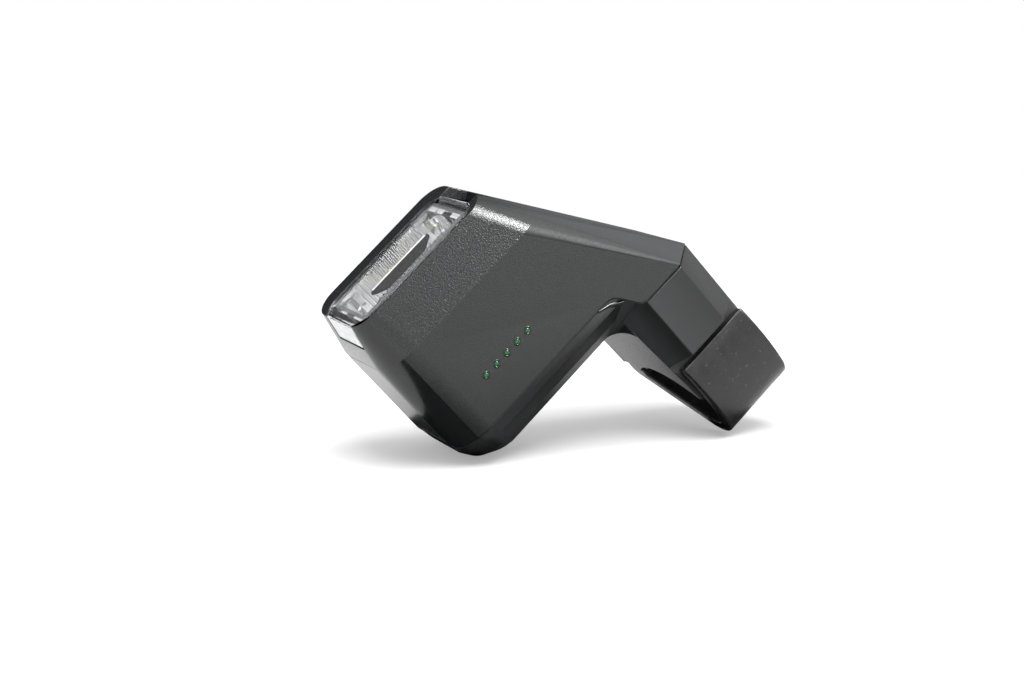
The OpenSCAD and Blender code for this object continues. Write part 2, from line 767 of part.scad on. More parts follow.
// Rubber strap: an eye on the pin, a straight back, a bend and an end that lies over the tail
module strap() {
    end_angle = 90 + asin((pin_y - strap_end) / sweep_mid);
    eye_join = acos((eye_r - strap_t) / eye_r);
    outside = concat(bow(pin_y, pin_z, strap_sweep, end_angle, bend_from, 8),
                     bow(bend_y, bend_z, bend_r + strap_t / 2, bend_from - 6, bend_to, 14));
    eye = bow(pin_y, pin_z, eye_r, bend_to, bend_to - 360 + eye_join, 28);
    inside = concat(bow(bend_y, bend_z, bend_r - strap_t / 2, bend_to, bend_from - 6, 14),
                    bow(pin_y, pin_z, strap_sweep - strap_t, bend_from, end_angle, 8));
    color("#262626") difference() {
        across(strap_mid, strap_w) polygon(concat(outside, eye, inside));
        across(strap_mid, pin_l + 2 * strap_gap) translate([pin_y, pin_z]) circle(pin_r + fit, $fn = fine);
        across(strap_mid, lug_w + 2 * strap_gap) translate([pin_y, pin_z]) circle(fork_r, $fn = fine);
    }
}

// Steel pin that the strap swings on
module strap_pin() {
    color("#a5a8ac") across(strap_mid, pin_l) translate([pin_y, pin_z]) circle(pin_r, $fn = fine);
}

front_housing();
rear_cover();
side_panel();
housing_seal();
lens();
lens_seal();
reflector_upper();
reflector_lower();
led_bridge();
main_leds();
heat_sink();
sink_screws();
led_leads();
gauge_lights();
gauge_leds();
main_board();
board_screws();
battery_cell();
battery_tabs();
battery_cradle();
charge_port();
port_cover();
power_button();
button_switch();
housing_screws();
bar_pad();
strap();
strap_pin();
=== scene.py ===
"""Bike headlight on a handlebar arm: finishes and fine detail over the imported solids, in metres."""

import logging
import math
from collections.abc import Callable
from dataclasses import dataclass
from enum import Enum, IntEnum
from typing import Any

import bmesh
import bpy
from mathutils import Matrix, Vector


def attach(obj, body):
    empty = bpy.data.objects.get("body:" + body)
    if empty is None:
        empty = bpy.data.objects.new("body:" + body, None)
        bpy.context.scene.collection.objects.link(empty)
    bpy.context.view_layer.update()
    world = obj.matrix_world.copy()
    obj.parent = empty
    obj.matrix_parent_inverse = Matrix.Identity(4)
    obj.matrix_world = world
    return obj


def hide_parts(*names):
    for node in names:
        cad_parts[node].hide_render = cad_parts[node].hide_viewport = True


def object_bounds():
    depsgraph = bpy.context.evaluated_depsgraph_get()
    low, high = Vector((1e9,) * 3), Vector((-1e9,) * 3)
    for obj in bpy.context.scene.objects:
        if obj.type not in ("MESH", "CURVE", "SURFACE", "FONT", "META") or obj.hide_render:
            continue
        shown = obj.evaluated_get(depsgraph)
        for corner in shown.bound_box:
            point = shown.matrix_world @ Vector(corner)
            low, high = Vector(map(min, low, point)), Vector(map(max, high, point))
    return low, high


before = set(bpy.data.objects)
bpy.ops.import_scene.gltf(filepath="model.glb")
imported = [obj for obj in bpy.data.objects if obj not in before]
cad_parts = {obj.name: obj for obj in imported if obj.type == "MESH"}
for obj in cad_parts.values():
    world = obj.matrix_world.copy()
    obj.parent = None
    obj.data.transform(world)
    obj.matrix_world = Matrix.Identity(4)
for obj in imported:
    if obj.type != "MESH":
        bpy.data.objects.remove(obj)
CAD_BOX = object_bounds()
LOG = logging.getLogger("headlight")
MM = 0.001
Pair = tuple[float, float]
Point = tuple[float, float, float]
Tree = bpy.types.NodeTree
Node = bpy.types.Node
Socket = bpy.types.NodeSocket
Object = bpy.types.Object
Material = bpy.types.Material
Face = bpy.types.MeshPolygon

# Most values of a noise texture lie in this range.
NOISE_RANGE = (0.3, 0.7)
# A wave texture repeats about every 0.3 units.
WAVE_STEP = 0.3
# Rotations that stand a flat shape up: across X, with its angles from +Y towards +Z, or across Y.
ACROSS_X = (math.pi / 2, 0.0, math.pi / 2)
ACROSS_Y = (math.pi / 2, 0.0, 0.0)


class Body(Enum):
    """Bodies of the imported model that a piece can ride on."""

    LIGHT = "light"
    STRAP = "strap"
    BUTTON = "button"
    FLAP = "flap"


class Slot(Enum):
    """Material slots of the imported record."""

    CASE = "case"
    PANEL = "panel"
    CLEAR = "clear"
    BRIGHT = "bright"
    TRIM = "dark_trim"
    CHIP = "light_chip"
    WHITE = "white_chip"
    GREEN = "green_guide"
    RUBBER = "rubber"
    STEEL = "steel"
    SINK = "sink"
    BOARD = "board"
    WIRE = "wire"
    CELL = "cell"
    TRAY = "tray"
    BUTTON = "button"


def linear(code: str) -> tuple[float, float, float, float]:
    """Turns an sRGB hex colour into linear values.

    Args:
        code: Colour such as "#1c1d1e".

    Returns:
        Red, green, blue and a full alpha.
    """
    parts = [int(code[i:i + 2], 16) / 255 for i in (1, 3, 5)]
    low = [p / 12.92 if p <= 0.04045 else ((p + 0.055) / 1.055) ** 2.4 for p in parts]
    return (low[0], low[1], low[2], 1.0)


def add(tree: Tree, kind: str, inputs: dict[Any, Any] | None = None, **settings: Any) -> Node:
    """Adds a node with its settings, and fills or links its inputs.

    Args:
        tree: Tree that takes the node.
        kind: Blender's name of the node.
        inputs: Values, sockets or nodes for its inputs, by name or number.
        settings: Properties of the node itself.

    Returns:
        The new node.
    """
    made = tree.nodes.new(kind)
    for name, value in settings.items():
        setattr(made, name, value)
    for key, value in (inputs or {}).items():
        if isinstance(value, Node):
            value = value.outputs[0]
        if isinstance(value, Socket):
            tree.links.new(value, made.inputs[key])
        else:
            made.inputs[key].default_value = value
    return made


def empty_tree(owner: Material | bpy.types.World) -> Tree:
    """Gives the node tree of a material or a world, without any nodes."""
    owner.use_nodes = True
    owner.node_tree.nodes.clear()
    return owner.node_tree


def per_mm(size: float) -> float:
    """Gives the texture scale at which a pattern's features are size millimetres apart."""
    return 1.0 / (size * MM)


def ranged(tree: Tree, value: Socket, old: Pair, new: Pair) -> Socket:
    """Moves a value from an old range to a new one, and keeps it inside."""
    moved = add(tree, "ShaderNodeMapRange", {"Value": value, "From Min": old[0], "From Max": old[1],
                                             "To Min": new[0], "To Max": new[1]})
    return moved.outputs["Result"]


@dataclass
class Paint:
    """A material while it is made. Lengths are in millimetres.

    Attributes:
        tree: Its node tree.
        shader: Its surface shader.
        where: Coordinates on the piece, in metres.
    """

    tree: Tree
    shader: Node
    where: Socket

    def give(self, name: str, value: Socket) -> None:
        """Links a socket to an input of the shader."""
        self.tree.links.new(value, self.shader.inputs[name])

    def blend(self, share: Socket, first: Any, second: Any) -> Socket:
        """Mixes two colours, or their sockets; share says how much of the second one shows."""
        mixed = add(self.tree, "ShaderNodeMix", {"Factor": share, "A": first, "B": second},
                    data_type="RGBA")
        return mixed.outputs["Result"]

    def noise(self, size: float, detail: float = 2.0, rough: float = 0.5) -> Socket:
        """Gives a soft noise whose features are size apart."""
        made = add(self.tree, "ShaderNodeTexNoise", {
            "Vector": self.where, "Scale": per_mm(size), "Detail": detail, "Roughness": rough})
        return made.outputs["Fac"]

    def gloss(self, pattern: Socket, level: float, spread: float) -> None:
        """Lets the roughness follow a noise, by spread to either side of its level."""
        self.give("Roughness", ranged(self.tree, pattern, NOISE_RANGE, (level - spread, level + spread)))

    def emboss(self, pattern: Socket, depth: float) -> None:
        """Raises the surface by a pattern."""
        bump = add(self.tree, "ShaderNodeBump", {"Height": pattern, "Distance": depth * MM})
        self.give("Normal", bump.outputs["Normal"])


@dataclass(frozen=True)
class Finish:
    """A surface finish: its name, colour and gloss. A kind of finish adds its own detail.

    Lengths are in millimetres, here and in the kinds of finish.
    """

    name: str
    colour: str
    roughness: float = 0.5
    metallic: float = 0.0
    ior: float = 1.5

    def make(self) -> Material:
        """Gives the material of this finish, made on first use."""
        found = bpy.data.materials.get(self.name)
        if found:
            return found
        made = bpy.data.materials.new(self.name)
        tree = empty_tree(made)
        shader = add(tree, "ShaderNodeBsdfPrincipled", {
            "Base Color": linear(self.colour), "Roughness": self.roughness,
            "Metallic": self.metallic, "IOR": self.ior})
        paint = Paint(tree, shader, add(tree, "ShaderNodeTexCoord").outputs["Object"])
        self.detail(paint)
        add(tree, "ShaderNodeOutputMaterial", {"Surface": self.surface(paint)})
        return made

    def detail(self, paint: Paint) -> None:
        """Adds the finish's own pattern; a plain finish has none."""

    def surface(self, paint: Paint) -> Node:
        """Gives the node that goes to the material's surface."""
        return paint.shader

    def clouded(self, paint: Paint, size: float, other: str) -> Socket:
        """Mixes the colour with another one in soft clouds of some size."""
        return paint.blend(paint.noise(size, 3.0), linear(self.colour), linear(other))


@dataclass(frozen=True)
class Moulded(Finish):
    """Injection-moulded ABS with a spark-eroded grain: black, with a fine sparkle where light grazes it.

    Attributes:
        grain: Distance between grains.
        depth: Height of the grain.
        other: Colour of its faint clouds.
        worn: Colour of edges that handling has rubbed.
        spread: How far the roughness strays with the grain.
        cloud: Size of the clouds.
    """

    grain: float = 0.4
    depth: float = 0.03
    other: str = "#242526"
    worn: str = "#4a4b4d"
    spread: float = 0.06
    cloud: float = 9.0

    def detail(self, paint: Paint) -> None:
        """Adds the grain, a faint cloudiness and edges that handling has rubbed lighter."""
        body = self.clouded(paint, self.cloud, self.other)
        edge = add(paint.tree, "ShaderNodeNewGeometry").outputs["Pointiness"]
        rubbed = ranged(paint.tree, edge, (0.53, 0.64), (0.0, 0.35))
        paint.give("Base Color", paint.blend(rubbed, body, linear(self.worn)))
        fine = paint.noise(self.grain, rough=0.6)
        paint.gloss(fine, self.roughness, self.spread)
        paint.emboss(fine, self.depth)


@dataclass(frozen=True)
class Rubber(Finish):
    """Moulded silicone rubber: dark, with a broad soft shine and faint dusty smears from handling.

    Attributes:
        smear: Size of the smears.
        dust: Colour of the smears.
        scuff: Colour of worn specks.
        speck: Distance between specks.
        spread: How far the roughness strays with the smears.
        grain: Distance between the marks of the mould.
        depth: Height of those marks.
    """

    smear: float = 5.0
    dust: str = "#3c3c3c"
    scuff: str = "#4c4c4c"
    speck: float = 0.9
    spread: float = 0.08
    grain: float = 0.5
    depth: float = 0.012

    def detail(self, paint: Paint) -> None:
        """Adds smears in the colour and the shine, pale scuffed specks and a very fine moulded texture."""
        body = self.clouded(paint, self.smear, self.dust)
        worn = ranged(paint.tree, paint.noise(self.speck, 1.0), (0.66, 0.74), (0.0, 0.5))
        paint.give("Base Color", paint.blend(worn, body, linear(self.scuff)))
        paint.gloss(paint.noise(self.smear / 2, 6.0), self.roughness, self.spread)
        paint.emboss(paint.noise(self.grain), self.depth)


@dataclass(frozen=True)
class Metal(Finish):
    """Bare or plated metal: bright, with the fine lines that drawing, turning or plating leaves.

    Attributes:
        lines: Distance between the lines.
        stretch: Scale of the pattern along each axis; a small one draws it out.
        depth: Height of the lines.
    """

    lines: float = 0.25
    stretch: Point = (0.05, 1.0, 1.0)
    depth: float = 0.006

    def detail(self, paint: Paint) -> None:
        """Adds the lines in the height and the gloss."""
        along = add(paint.tree, "ShaderNodeMapping", {"Vector": paint.where, "Scale": self.stretch})
        paint.where = along.outputs[0]
        drawn = paint.noise(self.lines, 3.0)
        paint.gloss(drawn, self.roughness, self.roughness / 4)
        paint.emboss(drawn, self.depth)


@dataclass(frozen=True)
class Clear(Finish):
    """Clear polished polycarbonate: what lies behind shows through, and it is bright where it turns."""

    def surface(self, paint: Paint) -> Node:
        """Lets light through and lets lamps shine past it onto the reflector."""
        paint.shader.inputs["Transmission Weight"].default_value = 1.0
        path = add(paint.tree, "ShaderNodeLightPath")
        open_air = add(paint.tree, "ShaderNodeBsdfTransparent", {"Color": (0.95, 0.95, 0.95, 1.0)})
        return add(paint.tree, "ShaderNodeMixShader", {
            0: path.outputs["Is Shadow Ray"], 1: paint.shader, 2: open_air})


@dataclass(frozen=True)
class Lit(Finish):
    """A small light source, light guide or frosted window: its own colour, with a weak painted glow or
    none.

    Attributes:
        glow: Colour of the painted glow and of the speckle.
        strength: Strength of the glow.
        speck: Distance between specks.
    """

    glow: str = "#ffffff"
    strength: float = 0.2
    speck: float = 0.6

    def detail(self, paint: Paint) -> None:
        """Adds the painted glow, and the speckle of the chip or of the moulded guide."""
        # Painted light: a weak glow that brightens the part, which is no lamp.
        paint.shader.inputs["Emission Color"].default_value = linear(self.glow)
        paint.shader.inputs["Emission Strength"].default_value = self.strength
        grain = add(paint.tree, "ShaderNodeTexVoronoi", {
            "Vector": paint.where, "Scale": per_mm(self.speck)})
        share = grain.outputs["Distance"]
        paint.give("Base Color", paint.blend(share, linear(self.colour), linear(self.glow)))


@dataclass(frozen=True)
class Board(Finish):
    """Green solder mask over copper: half gloss, with the tracks showing as paler raised lines.

    Attributes:
        track: Colour of the tracks.
        cell: Size of the pattern.
        half_track: Half the width of a track as a share of that size.
        depth: Height of a track.
    """

    track: str = "#3f8a5c"
    cell: float = 9.0
    half_track: float = 0.045
    depth: float = 0.03

    def detail(self, paint: Paint) -> None:
        """Adds the tracks, laid out like brickwork."""
        tracks = add(paint.tree, "ShaderNodeTexBrick", {
            "Vector": paint.where, "Scale": per_mm(self.cell), "Mortar Size": self.half_track,
            "Color1": linear(self.colour), "Color2": linear(self.colour), "Mortar": linear(self.track)})
        paint.give("Base Color", tracks.outputs["Color"])
        paint.emboss(tracks.outputs["Fac"], self.depth)


@dataclass(frozen=True)
class Sleeve(Finish):
    """Shrink sleeve or wire insulation: glossy, drawn tight, with faint rings where it shrank.

    Attributes:
        ring: Distance between the rings.
        other: Colour between the rings.
        depth: Height of the rings.
    """

    ring: float = 1.6
    other: str = "#3b7fc0"
    depth: float = 0.01

    def detail(self, paint: Paint) -> None:
        """Adds the rings along the sleeve and a soft change of colour."""
        wave = add(paint.tree, "ShaderNodeTexWave", {
            "Vector": paint.where, "Scale": per_mm(self.ring) * WAVE_STEP, "Distortion": 1.5})
        rings = wave.outputs["Fac"]
        paint.give("Base Color", paint.blend(rings, linear(self.colour), linear(self.other)))
        paint.emboss(rings, self.depth)


# The grain of the case is about 0.2 mm in life; it is drawn coarser so that it shows in the picture.
CASE_TOP = Moulded("grained_black_abs", "#171819", 0.46, grain=0.38, depth=0.08, other="#1c1d1e")
CASE_BAND = Moulded("coarse_grained_black_abs", "#262728", 0.3, grain=0.34, depth=0.1,
                    other="#1f2021", spread=0.1)
# The front half's faces turned far left or right get darker copies of its black ABS, picked by the way
# they face: painted shade. The left copy is also glossier; the right one is matt, with weaker reflections.
CASE_LEFT_GLOSS_AND_SHADE = Moulded("polished_black_abs_and_painted_shade", "#0f1011", 0.2, grain=0.5, depth=0.004, other="#131415")
CASE_RIGHT_MATT_AND_SHADE = Moulded("matt_black_abs_and_painted_shade", "#131415", 0.6, ior=1.35, grain=0.38, depth=0.05, other="#17181a")
CASE_REAR = Moulded("satin_black_abs", "#111213", 0.38, grain=0.35, depth=0.01, other="#151617")
PANEL = Moulded("satin_panel_abs", "#151617", 0.24, grain=0.3, depth=0.006, other="#191a1b")
TRIM = Moulded("gloss_black_trim", "#0a0a0b", 0.25, grain=0.5, depth=0.004, other="#0e0e0f")
SPINDLE = Moulded("polished_black_polycarbonate", "#0a0a0b", 0.3, ior=1.1, grain=1.2, depth=0.01,
                  other="#0f0f10", worn="#1c1c1d")
TRAY = Moulded("grey_nylon", "#4a4b4e", 0.55, grain=0.4, depth=0.02, other="#55565a", worn="#6a6b6e")
STRAP = Rubber("black_silicone_rubber", "#131314", 0.34, smear=6.0, dust="#1d1d1e")
SEAL = Rubber("soft_black_seal_rubber", "#070707", 0.6, smear=3.0, dust="#0d0d0d")
BUTTON = Rubber("firm_black_button_rubber", "#1a1b1c", 0.45, smear=3.0, dust="#242526")
CHROME = Metal("vacuum_plated_reflector", "#f2f3f4", 0.1, 0.86, lines=1.4,
               stretch=(1.0, 0.4, 0.4), depth=0.012)
# The bright metal bar along the bridge's ridge is a painted highlight: the bridge itself is black plastic
# that only catches the light there.
RIDGE_HIGHLIGHT = Metal("ridge_highlight_metal", "#f4f5f6", 0.2, 1.0, lines=0.8)
STEEL = Metal("zinc_plated_steel", "#a5a8ac", 0.3, 1.0)
NICKEL = Metal("nickel_strip", "#c8c9cb", 0.25, 1.0)
SINK = Metal("extruded_aluminium", "#b9bcc0", 0.38, 1.0, stretch=(1.0, 1.0, 0.05))
LENS = Clear("clear_polycarbonate", "#ffffff", 0.0, ior=1.2)
FROST = Lit("frosted_polycarbonate", "#c9cccd", 0.35, glow="#f2f4f5", strength=0.0, speck=1.2)
# The chips and the green guide glow a little: painted light that brightens them, as none of them is a lamp
# here.
CHIP = Lit("phosphor_chip", "#e8d36a", 0.5, glow="#f6e78c", strength=0.15)
WHITE_CHIP = Lit("white_led_package", "#dfe4d2", 0.45, glow="#f4f8ea", strength=0.05)
GUIDE = Lit("green_light_guide", "#0a3a1a", 0.14, glow="#1f7a3c", strength=0.04, speck=0.5)
BOARD = Board("green_solder_mask", "#1f5a38", 0.35)
CELL = Sleeve("blue_shrink_sleeve", "#2f6fb0", 0.3)
WIRE = Sleeve("red_silicone_wire", "#a02020", 0.4, ring=0.8, other="#b83030")


def settle(piece: Object, body: Body, slot: Slot, *nodes: str) -> None:
    """Puts a piece on its body and hides the solids that it stands for.

    Args:
        piece: The finished piece.
        body: Body that it moves with.
        slot: Record slot of its finish; not used.
        nodes: Solids that are hidden in its favour.
    """
    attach(piece, body.value)
    if nodes:
        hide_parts(*nodes)
    LOG.info("%s on %s: %d faces", piece.name, body.value, len(piece.data.polygons))


def linked(name: str, data: bpy.types.ID) -> Object:
    """Makes an object of a mesh, camera or lamp and links it into the scene."""
    made = bpy.data.objects.new(name, data)
    bpy.context.scene.collection.objects.link(made)
    return made


def flattened(piece: Object) -> Object:
    """Applies a piece's modifiers, so that it is a plain mesh."""
    graph = bpy.context.evaluated_depsgraph_get()
    shown = piece.evaluated_get(graph)
    mesh = bpy.data.meshes.new_from_object(shown, preserve_all_data_layers=True, depsgraph=graph)
    piece.modifiers.clear()
    piece.data = mesh
    mesh.name = piece.name
    return piece


def plain_nodes(finish: Finish, slot: Slot, *nodes: str) -> None:
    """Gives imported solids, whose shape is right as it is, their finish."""
    for name in nodes:
        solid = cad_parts[name]
        solid.data.materials.clear()
        solid.data.materials.append(finish.make())
        LOG.info("%s keeps its solid", name)


@dataclass
class Rounding:
    """Rounds the sharp edges of a copied solid, as a mould does.

    Attributes:
        width: Width of the rounding in millimetres.
        least: Smallest turn of an edge that is rounded, in degrees.
        steps: Facets of the rounding.
        shortest: Edges shorter than this many millimetres are left as they are.
        crease: Smallest turn of an edge that still shows as a line, in degrees.
        flat: Triangles that turn less than this are joined into one face, in degrees.
    """

    width: float = 0.3
    least: float = 28.0
    steps: int = 3
    shortest: float = 0.5
    crease: float = 38.0
    flat: float = 0.4

    def copy(self, node: str, name: str) -> Object:
        """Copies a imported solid, joins its triangles into faces and rounds its edges.

        Args:
            node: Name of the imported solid.
            name: Name of the new piece.

        Returns:
            The rounded piece, without a finish.
        """
        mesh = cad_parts[node].data.copy()
        mesh.name = name
        mesh.materials.clear()
        for layer in list(mesh.attributes):
            if layer.name == "custom_normal":
                mesh.attributes.remove(layer)
        shape = bmesh.new()
        shape.from_mesh(mesh)
        bmesh.ops.remove_doubles(shape, verts=shape.verts, dist=1e-6)
        bmesh.ops.dissolve_limit(shape, angle_limit=math.radians(self.flat), verts=shape.verts,
                                 edges=shape.edges)
        weights = shape.edges.layers.float.new("bevel_weight_edge")
        for edge in shape.edges:
            if len(edge.link_faces) == 2 and edge.calc_length() > self.shortest * MM:
                edge[weights] = 1.0 if edge.calc_face_angle(0.0) > math.radians(self.least) else 0.0
        for face in shape.faces:
            face.smooth = True
        shape.to_mesh(mesh)
        shape.free()
        piece = linked(name, mesh)
        bevel = piece.modifiers.new("rounding", "BEVEL")
        bevel.limit_method = "WEIGHT"
        bevel.width = self.width * MM
        bevel.segments = self.steps
        bevel.use_clamp_overlap = False
        bevel.miter_outer = "MITER_ARC"
        flattened(piece)
        piece.data.set_sharp_from_angle(angle=math.radians(self.crease))
        normals = piece.modifiers.new("flat_faces", "WEIGHTED_NORMAL")
        normals.keep_sharp = True
        normals.weight = 100
        return flattened(piece)

    def replace(self, node: str, name: str, body: Body, slot: Slot, *finishes: Finish,
                pick: Callable[[Face], int] | None = None) -> None:
        """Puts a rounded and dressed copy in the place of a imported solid.

        Args:
            node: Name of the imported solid.
            name: Name of the new piece.
            body: Body that it moves with.
            slot: Record slot of its finish.
            finishes: Its finishes.
            pick: Gives the number of a face's finish, where there are several.
        """
        piece = self.copy(node, name)
        for finish in finishes:
            piece.data.materials.append(finish.make())
        if pick:
            for face in piece.data.polygons:
                face.material_index = pick(face)
        settle(piece, body, slot, node)


def bar_along(tree: Tree, path: Node, radius: Socket, sides: int, capped: bool = False) -> Node:
    """Draws a bar with some sides along a curve, and closes its ends where it is capped."""
    bar = add(tree, "GeometryNodeCurvePrimitiveCircle", {"Resolution": sides, "Radius": radius})
    return add(tree, "GeometryNodeCurveToMesh", {"Curve": path, "Profile Curve": bar, "Fill Caps": capped})


def in_row(tree: Tree, one: Node, count: Socket, first: Socket, step: Socket) -> Node:
    """Repeats a shape along a straight line, from its first place on."""
    row = add(tree, "GeometryNodeMeshLine", {"Count": count, "Start Location": first, "Offset": step})
    return add(tree, "GeometryNodeInstanceOnPoints", {"Points": row, "Instance": one})


@dataclass
class Grown:
    """Detail that Geometry Nodes grow from named inputs, kept as a plain mesh.

    Attributes:
        name: Name of the piece.
        finish: Its finish.
        slot: Record slot of that finish.
        body: Body that it rides.
    """

    name: str
    finish: Finish
    slot: Slot
    body: Body

    def sizes(self) -> dict[str, Any]:
        """Gives the named inputs of the tree and their values, lengths in millimetres."""
        return {}

    def grow(self, tree: Tree, size: dict[str, Socket]) -> Node:
        """Adds the nodes that make the shape.

        Args:
            tree: The Geometry Nodes tree.
            size: Sockets of its inputs, by name.

        Returns:
            The node whose first output is the shape, in millimetres.
        """
        raise NotImplementedError

    def build(self) -> None:
        """Grows the detail, turns it into a plain mesh and settles it on its body."""
        tree = bpy.data.node_groups.new(self.name, "GeometryNodeTree")
        tree.interface.new_socket("Geometry", in_out="OUTPUT", socket_type="NodeSocketGeometry")
        values: dict[str, Any] = {}
        for label, value in self.sizes().items():
            kind = {int: "NodeSocketInt", float: "NodeSocketFloat", tuple: "NodeSocketVector"}[type(value)]
            values[tree.interface.new_socket(label, in_out="INPUT", socket_type=kind).identifier] = value
        given = tree.nodes.new("NodeGroupInput")
        shape = self.grow(tree, {socket.name: socket for socket in given.outputs if socket.name})
        real = add(tree, "GeometryNodeRealizeInstances", {"Geometry": shape})
        metres = add(tree, "GeometryNodeTransform", {"Geometry": real, "Scale": (MM, MM, MM)})
        smooth = add(tree, "GeometryNodeSetShadeSmooth", {"Geometry": metres, "Shade Smooth": True})
        done = add(tree, "GeometryNodeSetMaterial", {"Geometry": smooth, "Material": self.finish.make()})
        add(tree, "NodeGroupOutput", {0: done})
        piece = linked(self.name, bpy.data.meshes.new(self.name))
        growth = piece.modifiers.new("growth", "NODES")
        growth.node_group = tree
        for key, value in values.items():
            growth[key] = value
        settle(flattened(piece), self.body, self.slot)


@dataclass
class Flutes(Grown):
    """Ribs across the reflector, each along the curve of its trough.

    Attributes:
        first: Place of the first rib, on the trough's axis.
        count: Number of ribs.
        pitch: Distance between ribs.
        trough: Depth and half height of the trough.
        thick: Radius of a rib.
        slit: Angle from the middle of the trough that is left open for the stem, in degrees.
        reach: Angle from the middle of the trough to the end of a rib, in degrees.
    """

    first: Point
    count: int
    pitch: float
    trough: Pair
    thick: float = 0.55
    slit: float = 17.0
    reach: float = 97.0

    def sizes(self) -> dict[str, Any]:
        """Gives the rib's size and spacing."""
        return {"First rib": self.first, "Ribs": self.count, "Pitch": (self.pitch, 0.0, 0.0),
                "Trough": (self.trough[0], self.trough[1], 1.0), "Rib radius": self.thick,
                "Slit angle": math.radians(self.slit), "Sweep": math.radians(self.reach - self.slit)}

    def grow(self, tree: Tree, size: dict[str, Socket]) -> Node:
        """Bends one rib to the trough, above and below the slit, and repeats it along the axis."""
        both = add(tree, "GeometryNodeJoinGeometry")
        for side in (1.0, -1.0):
            angles = [add(tree, "ShaderNodeMath", {0: size[name], 1: side}, operation="MULTIPLY")
                      for name in ("Slit angle", "Sweep")]
            bow = add(tree, "GeometryNodeCurveArc", {
                "Resolution": 24, "Radius": 1.0, "Start Angle": angles[0], "Sweep Angle": angles[1]})
            bent = add(tree, "GeometryNodeTransform", {
                "Geometry": bow, "Scale": size["Trough"], "Rotation": ACROSS_X})
            rib = bar_along(tree, bent, size["Rib radius"], sides=10)
            tree.links.new(rib.outputs[0], both.inputs[0])
        return in_row(tree, both, size["Ribs"], size["First rib"], size["Pitch"])


@dataclass
class Bead(Grown):
    """A thin bead that follows a flat outline with rounded corners.

    Attributes:
        middle: Middle of the outline.
        outline: Its width, height and corner radius.
        thick: Radius of the bead.
    """

    middle: Point
    outline: tuple[float, float, float]
    thick: float

    def sizes(self) -> dict[str, Any]:
        """Gives the outline and the bead's thickness."""
        return {"Middle": self.middle, "Width": self.outline[0], "Height": self.outline[1],
                "Corner radius": self.outline[2], "Bead radius": self.thick}

    def grow(self, tree: Tree, size: dict[str, Socket]) -> Node:
        """Rounds a rectangle's corners, draws the bead along it and stands it up."""
        box = add(tree, "GeometryNodeCurvePrimitiveQuadrilateral", {
            "Width": size["Width"], "Height": size["Height"]})
        eased = add(tree, "GeometryNodeFilletCurve", {
            "Curve": box, "Count": 10, "Radius": size["Corner radius"]}, mode="POLY")
        bead = bar_along(tree, eased, size["Bead radius"], sides=12)
        return add(tree, "GeometryNodeTransform", {
            "Geometry": bead, "Translation": size["Middle"], "Rotation": ACROSS_Y})


@dataclass
class Row(Grown):
    """The same small round piece, repeated along a line: rings or low domes.

    Attributes:
        first: Middle of the first piece.
        count: Number of pieces.
        step: Step from one piece to the next.
        radius: Radius of a dome, or of a ring at its middle.
        thick: Radius of the ring's bar; 0 makes a dome.
        height: Height of a piece as a share of what a round one would have.
        turn: Rotation of a piece.
    """

    first: Point
    count: int
    step: Point
    radius: float
    thick: float = 0.0
    height: float = 0.35
    turn: Point = (0.0, 0.0, 0.0)

    def sizes(self) -> dict[str, Any]:
        """Gives the piece's size and spacing."""
        return {"First": self.first, "Count": self.count, "Step": self.step, "Radius": self.radius,
                "Bar radius": self.thick, "Flatness": (1.0, 1.0, self.height)}

    def grow(self, tree: Tree, size: dict[str, Socket]) -> Node:
        """Makes one piece, flattens it and repeats it."""
        if self.thick:
            path = add(tree, "GeometryNodeCurvePrimitiveCircle", {
                "Resolution": 48, "Radius": size["Radius"]})
            one = bar_along(tree, path, size["Bar radius"], sides=12)
        else:
            one = add(tree, "GeometryNodeMeshUVSphere", {
                "Segments": 32, "Rings": 16, "Radius": size["Radius"]})
        flat = add(tree, "GeometryNodeTransform", {
            "Geometry": one, "Scale": size["Flatness"], "Rotation": self.turn})
        return in_row(tree, flat, size["Count"], size["First"], size["Step"])


@dataclass
class Ribs(Grown):
    """Straight round ribs along X with flat ends, set along an arc about the X axis.

    Attributes:
        middle: Centre of the arc.
        radius: Radius of the arc.
        angles: First and last angle, from +Y towards +Z, in degrees.
        count: Number of ribs.
        length: Length of a rib.
        thick: Radius of a rib.
    """

    middle: Point
    radius: float
    angles: Pair
    count: int
    length: float
    thick: float

    def sizes(self) -> dict[str, Any]:
        """Gives the rib's size and spacing."""
        first, last = (math.radians(angle) for angle in self.angles)
        return {"Middle": self.middle, "Radius": self.radius, "First angle": first, "Sweep": last - first,
                "Ribs": self.count, "Half length": (self.length / 2, 0.0, 0.0), "Rib radius": self.thick}

    def grow(self, tree: Tree, size: dict[str, Socket]) -> Node:
        """Makes one rib and repeats it along the arc."""
        half = size["Half length"]
        back = add(tree, "ShaderNodeVectorMath", {0: half, "Scale": -1.0}, operation="SCALE")
        line = add(tree, "GeometryNodeCurvePrimitiveLine", {"Start": back, "End": half})
        rib = bar_along(tree, line, size["Rib radius"], sides=12, capped=True)
        bow = add(tree, "GeometryNodeCurveArc", {
            "Resolution": size["Ribs"], "Radius": size["Radius"], "Start Angle": size["First angle"],
            "Sweep Angle": size["Sweep"]})
        stood = add(tree, "GeometryNodeTransform", {
            "Geometry": bow, "Translation": size["Middle"], "Rotation": ACROSS_X})
        spots = add(tree, "GeometryNodeCurveToPoints", {"Curve": stood}, mode="EVALUATED")
        return add(tree, "GeometryNodeInstanceOnPoints", {"Points": spots, "Instance": rib})


